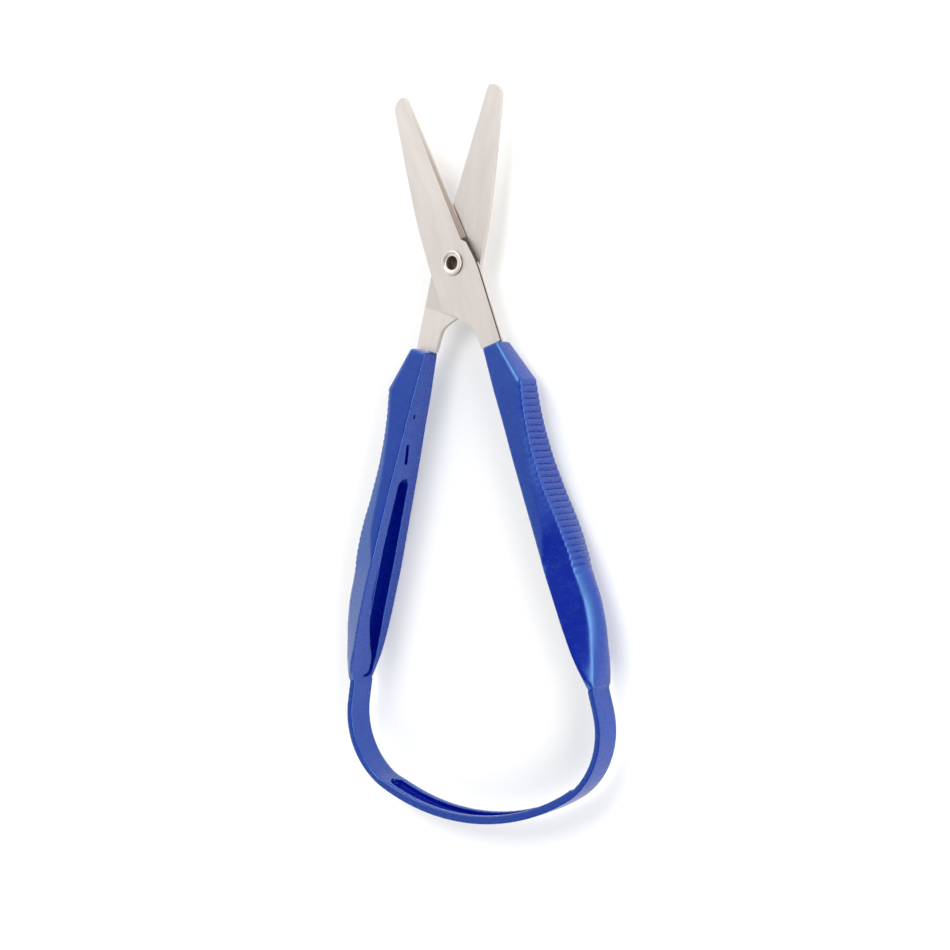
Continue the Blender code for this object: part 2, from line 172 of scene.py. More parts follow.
# Band
BAND_HALF = 0.9                 # half its thickness
BAND_HALF_WIDTH = 4.3
BAND_SLOPE, BAND_BULGE = 0.5, 0.06          # as in the grip's stations
BAND_EDGES = (0.45, 0.05, 0.55) # radii of the inner edge, the ridge and the outer edge
BASE_RADIUS = 64.0
BASE_TURN = radians(28.5)
CORNER_RADIUS = 22.0
CORNER_TURN = radians(73.5)
BASE_LENGTH = 35.2              # half of the channelled stretch
BASE_LINKS = 6
SIDE_LENGTH = 30.6
SIDE_LINKS = 4
LIP_HEIGHT = 0.5
LIP_WIDTH = 1.7
LIP_RAMP = (5.0, 0.35)          # how soon the lips rise from the plain band, on the left and right
CHANNEL_DEPTH = 1.6
CHANNEL_END = 32.3              # the channel's round ends stop short of the lips' ends
CHANNEL_RADIUS = BAND_HALF_WIDTH - LIP_WIDTH
CHANNEL_ANGLES = (8, 18, 28, 38, 50, 65, 80)       # the rings round its ends, in degrees
CHANNEL_LINE_STEP = 0.5         # along the band, for telling the channel's faces from the others
WALL_ROOM = 0.02                # the channel's faces lie at most this far beyond its walls,
LIP_EDGE = 0.12                 # at least this far below the lips' edge
BAND_BACK = 0.3                 # and at least this far from the band's outer face
BAND_STEP = 0.55                # between rings
RING_ROOM = 0.12                # no even ring is closer than this to one at an end of the channel
END_ROOM = 0.05                 # and none of those closer than this to the end of a piece
HINGE_RUN = BASE_LENGTH + SIDE_LENGTH
HINGE_LAP = 0.1                 # the grip's skin takes in this much past its hinge
BUTT_GAP = 0.02                 # half the hair between the two ends that meet at the bottom

# Blades, in the closed-blade frame: the x, y and radius of corners, round from the cutting edge
EDGE_HEEL, EDGE_TOP = (5.9, 5.0), (0.3, 48.6)      # the two ends of the cutting edge
HEEL_RADIUS, TOP_RADIUS = 0.6, 0.8
TIP_CORNER = (-0.2, 49.75, 0.5)
TIP_RADIUS = 3.6
TIP_CENTRE = (-1.2, 46.4)
TIP_ARC, TIP_STEPS = 82, 18     # in degrees, on from straight ahead
# Distance behind the pivot and x of the blade's back
BACK_STATIONS = [(-46.9, -4.76), (-24.0, -7.0), (-13.0, -7.8), (-4.0, -7.9), (4.0, -7.7), (11.0, -7.33)]
BACK_STEPS = 25
SHANK_END = -25.7
SHANK_INSIDE = [(-7.3, -11.5, 0.4), (0.1, -18.0, 1.6), (0.9, -20.0, 1.4), (1.5, SHANK_END, 0)]
SHANK_OUTSIDE = [(8.1, SHANK_END, 0), (7.6, -2.5, 3.0)]
OUTLINE_STEPS = 4
BEVEL_WIDTH = 1.15
BEVEL_TIP_WIDTH = 0.7
BEVEL_EDGE = 0.35               # what is left of the thickness at the cutting edge
BEVEL_STATIONS = ((-0.025, BEVEL_WIDTH, 0.0), (0.01, BEVEL_WIDTH, 1.0), (1.3, BEVEL_TIP_WIDTH, 1.0))
CUTTER_ROOM = 1.0               # how far the bevel's cutter reaches outside the blade
BEVEL_RUN = (4.0, 48.0)         # where the ground strip's colour starts and ends, along Y
WELD = 0.00001                  # in metres: corners closer than this become one
EDGE_ANGLE = radians(25)        # edges sharper than this are rounded
BLADE_EDGE_RADIUS = 0.07
TANG_INSIDE = 3.9
TANG_WIDTH = 3.2
TANG_LENGTH = 30.0
TANG_LEAN = radians(2.0)
TANG_END_RADIUS = 0.8
TANG_ROOM = 0.06                # round the tang in its pocket
HOLE_RADIUS, HOLE_STEPS = 2.6, 72
RIDE_STEP = 0.07                # the riding face is ground this much below the shank's
RIDE_ROOM = 0.5                 # how far its cutter reaches outside the blade
RIDE_OUTLINE = [(9.0, -14.0), (9.0, 60.0), (-10.0, 60.0), (-10.0, -15.1)]

# A blade's looks, in the order of its materials, and where they are in the closed-blade frame.
# Upright is the share of a face's normal that points up or down.
# The heel look and, on the upper blade, the shank look are painted shade on its cut side.
FLAT_LOOK, BEVEL_LOOK, SHANK_AND_EDGE_SHADE_LOOK, HEEL_SHADE_LOOK = range(4)
SIDE_UPRIGHT = 0.5              # the sheet's cut sides are below this
BEVEL_UPRIGHT = 0.95            # the ground strip is between, and the flat faces are above
BEVEL_FACE = 4e-6               # in square metres: only the ground strip itself is as large
BEVEL_START = 1.0
SHADED_SIDE_X, SHADED_SIDE_Y = 5.0, 5.4       # the upper blade's cut side, from the cutting edge's heel back, which gets painted shade
SHADED_SHANK_Y = -2.0                  # which behind this has the painted dark shade along its top only
HEEL_SHADE_X, HEEL_SHADE_Y = 4.6, (3.7, 5.5)            # the ground strip's run-out, with the cut side's painted shade
HEEL_SHADE_UPRIGHT = 0.97
SHANK_FACE_Y = -15.0            # the lower blade's shank is paler behind this

# Rivet
HEAD_RADIUS, HEAD_HEIGHT = 3.7, 1.0
HEAD_SIDE = 0.35                # the straight side of the head, above its dome
HEAD_EDGE = 0.08
DOME_ANGLES = range(6, 91, 12)
STEM_RADIUS = 2.5
RIM_RADIUS, RIM_HEIGHT = 3.4, 0.55
RIM_UNDER = ((0.1, 0.0), (0.0, 0.08))       # inset from the rim's radius, and height above its foot
RIM_EDGE = ((0.0, 0.16), (0.05, 0.07), (0.16, 0.02), (0.35, 0.0))      # inset, and depth below its top
CREST_RADIUS, CREST_DROP = 2.72, 0.03       # from here the rim rolls down into the bore
ROLL_FOOT, ROLL_HEIGHT = 0.05, 0.45         # how far above the rim's foot it ends, and its height
ROLL_ANGLES = range(100, 181, 16)
BORE_RADIUS = 1.9
BORE_LIP = 0.3                  # the straight part of the bore, below the rim's foot
BORE_END = ((0.05, 2.2), (0.3, 1.9))        # inset from the bore's radius, and height in the rivet
BORE_FLOOR = 1.8                # height in the rivet
RIVET_STEPS = 96
BORE_ROOM, BORE_LOW = 0.05, 1.5             # faces inside this have the bore's look,
WALL_INSET, WALL_TOP = 0.12, 0.12           # and so has the rim's side, outside this, as painted shade

SMOOTH_ANGLE = radians(38)


def world(point):
    """A point in millimetres of the pivot frame, in metres of the row frame."""
    return (PIVOT + Vector(point)) * MM


# ---------------------------------------------------------------- curves

def knot_slope(before, here, there):
    """The slope of a curve through a knot, level where the values turn back or stay level."""
    left, right = [], []
    for i in range(1, len(here)):
        left.append((here[i] - before[i]) / (here[0] - before[0]) if before is not here else None)
        right.append((there[i] - here[i]) / (there[0] - here[0]) if there is not here else None)
    slopes = []
    for a, b in zip(left, right):
        if a is None or b is None:
            slopes.append(b if a is None else a)
        else:
            slopes.append(2 * a * b / (a + b) if a * b > 0 else 0.0)
    return slopes


def smooth_through(stations, distance):
    """Read a station table at a distance, on a smooth curve that never overshoots its rows."""
    last = len(stations) - 1
    k = 0
    while k < last - 1 and distance > stations[k + 1][0]:
        k += 1
    before, here, there, after = (stations[min(max(k + d, 0), last)] for d in (-1, 0, 1, 2))
    span = there[0] - here[0]
    t = (distance - here[0]) / span
    values = []
    slopes = zip(knot_slope(before, here, there), knot_slope(here, there, after))
    for i, (rise, fall) in enumerate(slopes, start=1):
        values.append((2 * t**3 - 3 * t**2 + 1) * here[i] + (t**3 - 2 * t**2 + t) * rise * span
                      + (3 * t**2 - 2 * t**3) * there[i] + (t**3 - t**2) * fall * span)
    return values


CORNER_SHARE = 0.45             # the most of a side that one rounded corner takes


def rounded(corners, steps):
    """A closed outline of (x, y, radius) corners with each corner of some radius rounded over."""
    points = []
    for i, (x, y, radius) in enumerate(corners):
        here = Vector((x, y))
        before = Vector(corners[i - 1][:2])
        after = Vector(corners[(i + 1) % len(corners)][:2])
        if radius == 0:
            points.append(here)
            continue
        start = here + (before - here) * min(radius / (before - here).length, CORNER_SHARE)
        end = here + (after - here) * min(radius / (after - here).length, CORNER_SHARE)
        for k in range(steps + 1):
            t = k / steps
            points.append(start * (1 - t)**2 + here * 2 * t * (1 - t) + end * t**2)
    return points


def band_point(run):
    """The band's middle line at a run from the bottom centre: its place and its direction."""
    side = 1.0 if run >= 0 else -1.0
    run = abs(run)
    base_run = BASE_RADIUS * BASE_TURN
    corner_run = CORNER_RADIUS * CORNER_TURN
    turn = min(run / BASE_RADIUS, BASE_TURN)
    x = BASE_RADIUS * sin(turn)
    y = -LOOP_REACH + BAND_HALF + BASE_RADIUS * (1 - cos(turn))
    if run > base_run:
        turn = BASE_TURN + min((run - base_run) / CORNER_RADIUS, CORNER_TURN)
        x += CORNER_RADIUS * (sin(turn) - sin(BASE_TURN))
        y += CORNER_RADIUS * (cos(BASE_TURN) - cos(turn))
    straight = max(run - base_run - corner_run, 0.0)
    x += straight * cos(turn)
    y += straight * sin(turn)
    return side * x, y, side * turn


# ---------------------------------------------------------------- meshes

def mesh_from(name, make):
    """A mesh made by a function in pivot-frame millimetres, in metres of the row frame."""
    shape = bmesh.new()
    make(shape)
    for vert in shape.verts:
        vert.co = world(vert.co)
    bmesh.ops.recalc_face_normals(shape, faces=shape.faces)
    mesh = bpy.data.meshes.new(name)
    shape.to_mesh(mesh)
    shape.free()
    return mesh


def loft(shape, rings):
    """Skin closed rings of equally many points and cap both ends."""
    rows = [[shape.verts.new(point) for point in ring] for ring in rings]
    count = len(rows[0])
    for near, far in zip(rows, rows[1:]):
        for i in range(count):
            j = (i + 1) % count
            shape.faces.new((near[i], near[j], far[j], far[i]))
    shape.faces.new(rows[0])
    shape.faces.new(rows[-1])


def add_piece(name, mesh, material, replaced):
    """Put a mesh in the scene with its first material and the nodes it stands for."""
    piece = bpy.data.objects.new(name, mesh)
    bpy.context.collection.objects.link(piece)
    mesh.materials.clear()
    mesh.materials.append(material)
    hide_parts(*replaced)
    return piece


def without(mesh, cutters):
    """The mesh with the cutters' shapes taken out, as a new mesh."""
    target = bpy.data.objects.new("target", mesh)
    bpy.context.collection.objects.link(target)
    tools = []
    for cutter in cutters:
        tool = bpy.data.objects.new("cutter", cutter)
        bpy.context.collection.objects.link(tool)
        boolean = target.modifiers.new("cut", "BOOLEAN")
        boolean.object = tool
        boolean.operation = "DIFFERENCE"
        boolean.solver = "EXACT"
        tools.append(tool)
    depsgraph = bpy.context.evaluated_depsgraph_get()
    result = bpy.data.meshes.new_from_object(target.evaluated_get(depsgraph))
    for item in [target, *tools]:
        bpy.data.objects.remove(item)
    return result


def finish_surface(piece):
    """Smooth shading that keeps flat faces flat, and the rest place for the materials."""
    mesh = piece.data
    rest = mesh.attributes.new("rest_place", "FLOAT_VECTOR", "POINT")
    for vert in mesh.vertices:
        rest.data[vert.index].vector = vert.co / MM - PIVOT
    mesh.shade_smooth()
    mesh.set_sharp_from_angle(angle=SMOOTH_ANGLE)
    weighted = piece.modifiers.new("flat faces stay flat", "WEIGHTED_NORMAL")
    weighted.keep_sharp = True
    weighted.weight = 80


# ---------------------------------------------------------------- the moulding's rings

CORNER_STEPS = 3
BULGE_STEPS = (0.8, 0.6, 0.4, 0.2, 0.0, -0.2, -0.4, -0.6, -0.8)
NO_SLOT = {"slot_top": 1.2, "slot_low": -1.2, "slot_depth": 0.0, "draft": 0.5}
NO_SLOT_LIP = 0.1
GROOVE_SHAPE = 6                # the power by which a groove between ribs rises to its edges


def section(inner, outer, inner_half, outer_half, slope, bulge, groove=0.0, edge=EDGE_RADIUS,
            ridge=RIDGE_RADIUS, *, outer_edge, slot_top, slot_low, slot_depth, draft):
    """The moulding's outline across its length, as points (outward, up), from the inner top edge."""
    flat_top = max(outer - bulge - slope, inner + TOP_LAND)
    flat_low = max(outer - bulge - slope, inner + REST_LAND) if slope > REST_LAND else flat_top
    shallow = groove * GROOVE_END
    reach = outer - bulge - shallow
    corner = outer_half + shallow * (inner_half - outer_half) / max(slope, TOP_LAND)
    lip = SLOT_LIP if slot_depth > 0 else NO_SLOT_LIP
    corners = [(inner, inner_half, edge), (flat_top, inner_half, ridge), (reach, corner, outer_edge)]
    for k in BULGE_STEPS:
        hollow = (groove - shallow) * (1 - k**GROOVE_SHAPE)
        corners.append((outer - bulge * k * k - shallow - hollow, outer_half * k, 0))
    corners += [(reach, -corner, outer_edge), (flat_low, -inner_half, ridge), (inner, -inner_half, edge)]
    corners += [(inner, slot_low - draft, lip), (inner + slot_depth, slot_low + draft, lip),
                (inner + slot_depth, slot_top - draft, lip), (inner, slot_top + draft, lip)]
    return rounded(corners, CORNER_STEPS)


def rib_groove(distance):
    """How deep the grooves between the ribs are at a distance behind the pivot."""
    count = int((RIB_LAST - RIB_FIRST) / RIB_PITCH)
    k = round((distance - RIB_FIRST) / RIB_PITCH)
    if not 0 <= k < count:
        return 0.0
    off = distance - RIB_FIRST - RIB_PITCH * k
    return RIB_DEPTH * min(1.0, (count - k) / RIB_FADE) * exp(-(off / RIB_GROOVE)**2)


def slot_at(distance, inner, outer):
    """The slot in a grip's inner face at a distance, as section() takes it."""
    start, end = SLOT_STATIONS[0][0] - SLOT_START_RADIUS, SLOT_STATIONS[-1][0]
    if not start < distance < end:
        return dict(NO_SLOT)
    if distance < SLOT_STATIONS[0][0]:
        reach = SLOT_STATIONS[0][0] - distance
        top = sqrt(SLOT_START_RADIUS**2 - reach**2)
        low = -top
    else:
        top, low = smooth_through(SLOT_STATIONS, distance)
    depth = max(min(SLOT_DEPTH, outer - inner - SLOT_WALL), SLOT_LEAST)
    return {"slot_top": top, "slot_low": low, "slot_depth": depth, "draft": SLOT_DRAFT}


def grip_ring(distance, inset=0.0, step=0.0):
    """A ring of the grip at +X. Inset rounds the blade end over; step ends it proud of the band."""
    table = GRIP_STATIONS[:2] if distance <= GRIP_SHOULDER else GRIP_STATIONS[1:]
    inner, outer, inner_half, outer_half, slope, bulge = smooth_through(table, distance)
    share = (distance - GRIP_START) / (GRIP_END - GRIP_START)
    slant = GRIP_SLANT * (1 - share) + tan(BASE_TURN + CORNER_TURN - pi / 2) * share
    ribbed = RIB_FIRST - RIB_PITCH < distance < RIB_LAST - RIB_PITCH
    softening = min(max((distance - SOFT_FROM) / SOFT_RAMP, 0.0), 1.0)
    soft = OUTER_RADIUS + (SOFT_RADIUS - OUTER_RADIUS) * softening
    outline = section(inner + inset, outer - inset - step, inner_half - inset, outer_half - inset,
                      slope, bulge, rib_groove(distance), outer_edge=RIB_EDGE_RADIUS if ribbed else soft,
                      **slot_at(distance, inner, outer))
    return [(x, -distance + slant * (x - inner), z) for x, z in outline]


def grip_distances():
    """Where the grip's rings are: even, but closer at the ribs and at the ends of the slot."""
    count = int((RIB_LAST - RIB_FIRST) / RIB_PITCH)
    ribs = [RIB_FIRST + RIB_PITCH * k + off for k in range(count) for off in RIB_RINGS]
    start = SLOT_STATIONS[0][0] - SLOT_START_RADIUS
    slot_start = [SLOT_STATIONS[0][0] - SLOT_START_RADIUS * cos(radians(a)) for a in ROUND_ANGLES]
    slot_end = SLOT_STATIONS[-1][0]
    hook = [slot_end - HAIR, slot_end + HAIR] + [slot_end - HOOK_STEP * (k + 1) for k in range(HOOK_RINGS)]
    marks = ribs + [start - HAIR] + slot_start + hook
    plain_count = int((GRIP_END - GRIP_START - PLAIN_END) / RING_STEP)
    for distance in [GRIP_START + RING_STEP + RING_STEP * k for k in range(plain_count)]:
        if min(abs(distance - mark) for mark in marks) > RING_STEP / 2:
            marks.append(distance)
    return sorted(marks)


def channel_at(run):
    """The channel in the band's inner face at a run from the bottom centre, and its lips' height."""
    ramp_length = LIP_RAMP[0] if run < 0 else LIP_RAMP[1]
    run = abs(run)
    lip = LIP_HEIGHT * min(max((BASE_LENGTH - run) / ramp_length, 0.0), 1.0)
    if run >= CHANNEL_END:
        return lip, dict(NO_SLOT)
    reach = max(run - (CHANNEL_END - CHANNEL_RADIUS), 0.0)
    half = sqrt(CHANNEL_RADIUS**2 - reach**2)
    depth = lip + CHANNEL_DEPTH - LIP_HEIGHT
    return lip, {"slot_top": half, "slot_low": -half, "slot_depth": depth, "draft": SLOT_DRAFT}


def band_ring(run):
    """A ring of the band at a run from the bottom centre."""
    x, y, turn = band_point(run)
    outward = Vector((sin(turn), -cos(turn)))
    lip, channel = channel_at(run)
    edge, ridge, outer_edge = BAND_EDGES
    outline = section(-BAND_HALF - lip, BAND_HALF, BAND_HALF_WIDTH, BAND_HALF_WIDTH, BAND_SLOPE,
                      BAND_BULGE, edge=edge, ridge=ridge, outer_edge=outer_edge, **channel)
    return [(x + outward.x * reach, y + outward.y * reach, z) for reach, z in outline]


def band_rings(start, end):
    """Rings from one run to another, closer where the channel and its lips end."""
    count = max(2, round(abs(end - start) / BAND_STEP))
    runs = [start + (end - start) * k / count for k in range(count + 1)]
    ends = [CHANNEL_END + HAIR, BASE_LENGTH, BASE_LENGTH - LIP_RAMP[1] / 2, BASE_LENGTH - LIP_RAMP[1]]
    ends += [CHANNEL_END - CHANNEL_RADIUS * (1 - cos(radians(a))) for a in CHANNEL_ANGLES]
    low, high = min(start, end), max(start, end)
    for mark in [side * run for run in ends for side in (1, -1)]:
        if low + END_ROOM < mark < high - END_ROOM:
            runs = [run for run in runs if abs(run - mark) > RING_ROOM or run in (start, end)]
            runs.append(mark)
    return [band_ring(run) for run in sorted(runs, reverse=start > end)]


def mirrored(ring, side):
    """The ring on one side of the tool: 1 is +X, where rings are drawn, and -1 the other."""
    return [(side * x, y, z) for x, y, z in ring]


# ---------------------------------------------------------------- pieces

def band_ends():
    """The runs at which the links meet, from the left grip round to the right one."""
    base = [BASE_LENGTH * (2 * k / BASE_LINKS - 1) for k in range(BASE_LINKS + 1)]
    side = [BASE_LENGTH + SIDE_LENGTH * (k + 1) / SIDE_LINKS for k in range(SIDE_LINKS)]
    return [-run for run in reversed(side)] + base + side


def link_names():
    """The band's bodies in the order of band_ends()."""
    left = ["band_left_%d" % (k + 1) for k in range(SIDE_LINKS)]
    base = ["band_base_%d" % (k + 1) for k in range(BASE_LINKS)]
    right = ["band_right_%d" % (k + 1) for k in reversed(range(SIDE_LINKS))]
    return left + base + right


def middle_of(name):
    """The run at the middle of a link."""
    names, ends = link_names(), band_ends()
    k = names.index(name)
    return (ends[k] + ends[k + 1]) / 2


def on_band(run):
    """The place on the band's middle line at a run, in metres of the row frame."""
    x, y, _ = band_point(run)
    return world((x, y, 0.0))


def tang_cutter(side, blade_box):
    """The pocket that the tang sits in, with a hair of room round it."""
    inner, outer = TANG_INSIDE - TANG_ROOM, TANG_INSIDE + TANG_WIDTH + TANG_ROOM
    start, end = SHANK_END + TANG_ROOM, SHANK_END - TANG_LENGTH - TANG_ROOM
    lean = tan(TANG_LEAN) * TANG_LENGTH
    outline = [(outer, start), (inner, start), (inner + lean, end), (outer + lean, end)]
    turn = Matrix.Rotation(REST, 2)
    placed = [turn @ Vector(point) for point in outline]
    low, high = blade_box[0].z - PIVOT.z - TANG_ROOM, blade_box[1].z - PIVOT.z + TANG_ROOM

    def make(shape):
        loft(shape, [[(side * x, y, z) for x, y in placed] for z in (low, high)])
    return mesh_from("pocket", make)


def face_cutter(side, distance, length, height, low, high, depth):
    """A narrow recess with round ends in a grip's inner face, leaning from low to high."""
    inner = smooth_through(GRIP_STATIONS[1:], distance)[0]
    ahead = smooth_through(GRIP_STATIONS[1:], distance + 1.0)[0]
    lean = atan2(ahead - inner, 1.0)
    along = Vector((sin(lean), -cos(lean), (low - high) / length)).normalized()
    outward = Vector((cos(lean), sin(lean), 0.0))
    across = outward.cross(along)
    centre = Vector((inner, -distance, (low + high) / 2))
    half = height / 2
    outline = []
    for end in (1, -1):
        for degrees in range(90, -91, -30):
            turn = radians(degrees)
            reach = end * ((length / 2 - half) + half * cos(turn))
            outline.append(along * reach + across * end * half * sin(turn))

    def make(shape):
        rings = [[centre + point + outward * deep for point in outline] for deep in (RECESS_START, depth)]
        loft(shape, [[(side * p.x, p.y, p.z) for p in ring] for ring in rings])
    return mesh_from("recess", make)


def add_grip(name, side, node, link, blade_box, material):
    """A grip and the first half link of the band below it, as one skin."""
    rings = [grip_ring(GRIP_START + after, inset) for after, inset in START_ROUNDING]
    rings += [grip_ring(distance) for distance in grip_distances()]
    rings += [grip_ring(GRIP_END - before, step=step) for before, step in END_STEPS]
    middle = abs(middle_of(link))
    rings += band_rings(HINGE_RUN - HINGE_LAP, middle)
    rings = [mirrored(ring, side) for ring in rings]
    cutters = [tang_cutter(side, blade_box), face_cutter(side, *SLIT), face_cutter(side, *DIMPLE)]
    mesh = without(mesh_from(name, lambda s: loft(s, rings)), cutters)
    grip = add_piece(name, mesh, material, [node])
    finish_surface(grip)
    on_band(side * HINGE_RUN)
    on_band(side * middle)
    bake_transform(grip)


def channel_line():
    """The band's centre line along the channel: run, place and turn, step by step."""
    steps = round(CHANNEL_END / CHANNEL_LINE_STEP)
    runs = [CHANNEL_LINE_STEP * k for k in range(-steps, steps + 1)]
    return [(run, *band_point(run)) for run in runs]


def in_channel(spot, line):
    """Whether a place, in millimetres from the pivot, lies on the walls or floor of the channel."""
    run, x, y, turn = min(line, key=lambda at: (at[1] - spot.x)**2 + (at[2] - spot.y)**2)
    reach = (spot.x - x) * sin(turn) - (spot.y - y) * cos(turn)
    lip, channel = channel_at(run)
    return (channel["slot_depth"] > 0 and abs(spot.z) < channel["slot_top"] + WALL_ROOM
            and -BAND_HALF - lip + LIP_EDGE < reach < BAND_HALF - BAND_BACK)


def add_band(material, channel_shade_look):
    """The band below the grips: each piece runs from the middle of one link to the next one's."""
    names, line = link_names(), channel_line()
    half = len(names) // 2
    for k, name in enumerate(names):
        on_left = k < half
        inward = names[k + 1] if on_left else names[k - 1]
        at_bottom = k in (half - 1, half)
        start = middle_of(name)
        end = (-BUTT_GAP if on_left else BUTT_GAP) if at_bottom else middle_of(inward)
        mesh = mesh_from(name + "_skin", lambda s: loft(s, band_rings(start, end)))
        skin = add_piece(name + "_skin", mesh, material, [name])
        # the channel's faces get the duller copy of the plastic, as painted shade
        mesh.materials.append(channel_shade_look)
        for face in mesh.polygons:
            face.material_index = int(in_channel(Vector(face.center) / MM - PIVOT, line))
        finish_surface(skin)
        if at_bottom:
            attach(skin, name)
        else:
            on_band(start)
            on_band(end)
            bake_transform(skin)


def blade_outline():
    """One closed blade, counter-clockwise from the heel of its cutting edge."""
    corners = [(*EDGE_HEEL, HEEL_RADIUS), (*EDGE_TOP, TOP_RADIUS), TIP_CORNER]
    for k in range(1, TIP_STEPS + 1):
        turn = radians(90 + TIP_ARC * k / TIP_STEPS)
        corners.append((TIP_CENTRE[0] + TIP_RADIUS * cos(turn), TIP_CENTRE[1] + TIP_RADIUS * sin(turn), 0))
    first, last = BACK_STATIONS[0][0], BACK_STATIONS[-1][0]
    for k in range(1, BACK_STEPS + 1):
        distance = first + (last - first) * k / BACK_STEPS
        corners.append((smooth_through(BACK_STATIONS, distance)[0], -distance, 0))
    lean = tan(TANG_LEAN) * TANG_LENGTH
    outer = TANG_INSIDE + TANG_WIDTH
    end = SHANK_END - TANG_LENGTH
    tang = [(TANG_INSIDE, SHANK_END, 0), (TANG_INSIDE + lean, end, TANG_END_RADIUS),
            (outer + lean, end, TANG_END_RADIUS), (outer, SHANK_END, 0)]
    return rounded(corners + SHANK_INSIDE + tang + SHANK_OUTSIDE, OUTLINE_STEPS)


def blade_cutters(side, inner, outer):
    """What is taken off a blade: the ground strip, the rivet's hole, and the riding face's step."""
    turn = Matrix.Rotation(REST, 3, "Z")
    up = 1.0 if outer > inner else -1.0
    thickness = abs(outer - inner)

    def place(x, y, z):
        spot = turn @ Vector((x, y, 0.0))
        return side * spot.x, spot.y, inner + up * z

    heel, top = Vector(EDGE_HEEL), Vector(EDGE_TOP)
    along = (top - heel).normalized()
    across = Vector((-along.y, along.x))

    def wedge(shape):
        rings = []
        for reach, width, share in BEVEL_STATIONS:
            slope = (thickness - BEVEL_EDGE) / width
            edge = thickness - (thickness - BEVEL_EDGE) * share
            spot = heel + (top - heel) * reach
            corners = ((-CUTTER_ROOM, edge - slope), (width * share + CUTTER_ROOM, thickness + slope),
                       (-CUTTER_ROOM, thickness + slope))
            rings.append([place(spot.x + across.x * a, spot.y + across.y * a, z) for a, z in corners])
        loft(shape, rings)

    def hole(shape):
        turns = [2 * pi * k / HOLE_STEPS for k in range(HOLE_STEPS)]
        circle = [(HOLE_RADIUS * cos(turn), HOLE_RADIUS * sin(turn)) for turn in turns]
        loft(shape, [[(x, y, z) for x, y in circle] for z in (inner - up, outer + up)])

    def riding(shape):
        loft(shape, [[place(x, y, z) for x, y in RIDE_OUTLINE] for z in (-RIDE_ROOM, RIDE_STEP)])

    return [mesh_from("cutter", make) for make in (riding, wedge, hole)]


def blade_look(side, spot, upright, area):
    """Which of a blade's looks a face has, from its place, its slope and its size."""
    # painted shade on the upper blade's cut side and on the ground strip's run-out by the heel
    if side > 0 and upright < SIDE_UPRIGHT and spot.x > SHADED_SIDE_X and spot.y < SHADED_SIDE_Y:
        return SHANK_AND_EDGE_SHADE_LOOK if spot.y < SHADED_SHANK_Y else HEEL_SHADE_LOOK
    if side > 0 and upright < HEEL_SHADE_UPRIGHT and spot.x > HEEL_SHADE_X and HEEL_SHADE_Y[0] < spot.y < HEEL_SHADE_Y[1]:
        return HEEL_SHADE_LOOK
    if SIDE_UPRIGHT < upright < BEVEL_UPRIGHT and spot.y > BEVEL_START and area > BEVEL_FACE:
        return BEVEL_LOOK
    if side < 0 and upright > BEVEL_UPRIGHT and spot.y < SHANK_FACE_Y:
        return SHANK_AND_EDGE_SHADE_LOOK
    return FLAT_LOOK


def add_blade(name, side, node, body, blade_box, looks):
    """A blade with its ground strip, rivet hole and softened edges, in its several looks."""
    low, high = blade_box[0].z - PIVOT.z, blade_box[1].z - PIVOT.z
    inner, outer = (low, high) if abs(low) < abs(high) else (high, low)
    turn = Matrix.Rotation(REST, 2)
    placed = [turn @ point for point in blade_outline()]

    def make(shape):
        loft(shape, [[(side * x, y, z) for x, y in placed] for z in (inner, outer)])
    mesh = without(mesh_from(name, make), blade_cutters(side, inner, outer))
    shape = bmesh.new()
    shape.from_mesh(mesh)
    bmesh.ops.remove_doubles(shape, verts=shape.verts, dist=WELD)
    inside = [edge for edge in shape.edges if len(edge.link_faces) == 2]
    sharp = [edge for edge in inside if edge.calc_face_angle() > EDGE_ANGLE]
    bmesh.ops.bevel(shape, geom=sharp, offset=BLADE_EDGE_RADIUS * MM, offset_type="OFFSET", segments=2,
                    profile=0.5, affect="EDGES", clamp_overlap=True)
    shape.to_mesh(mesh)
    shape.free()
    blade = add_piece(name, mesh, looks[0], [node])
    for look in looks[1:]:
        mesh.materials.append(look)
    back = Matrix.Rotation(-REST, 2)
    for face in mesh.polygons:
        centre = Vector(face.center) / MM - PIVOT
        spot = back @ Vector((side * centre.x, centre.y))
        face.material_index = blade_look(side, spot, abs(face.normal.z), face.area)
    finish_surface(blade)
    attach(blade, body)


def rivet_profile(low, high):
    """The rivet's outline as (radius, height), from the middle of its head to the bore's floor."""
    head_top, rim_low = low + HEAD_HEIGHT, high - RIM_HEIGHT
    profile = []
    for turn in [radians(degrees) for degrees in DOME_ANGLES]:
        profile.append((HEAD_RADIUS * sin(turn),
                        head_top - HEAD_SIDE - (HEAD_HEIGHT - HEAD_SIDE) * cos(turn)))
    profile += [(HEAD_RADIUS, head_top - HEAD_EDGE), (HEAD_RADIUS - HEAD_EDGE, head_top)]
    profile += [(STEM_RADIUS, head_top), (STEM_RADIUS, rim_low)]
    profile += [(RIM_RADIUS - inset, rim_low + rise) for inset, rise in RIM_UNDER]
    profile += [(RIM_RADIUS - inset, high - drop) for inset, drop in RIM_EDGE]
    profile.append((CREST_RADIUS, high - CREST_DROP))
    for turn in [radians(degrees) for degrees in ROLL_ANGLES]:
        profile.append((CREST_RADIUS + (CREST_RADIUS - BORE_RADIUS) * cos(turn),
                        rim_low + ROLL_FOOT + ROLL_HEIGHT * sin(turn)))
    profile.append((BORE_RADIUS, rim_low - BORE_LIP))
    profile += [(BORE_RADIUS - inset, low + rise) for inset, rise in BORE_END]
    return profile


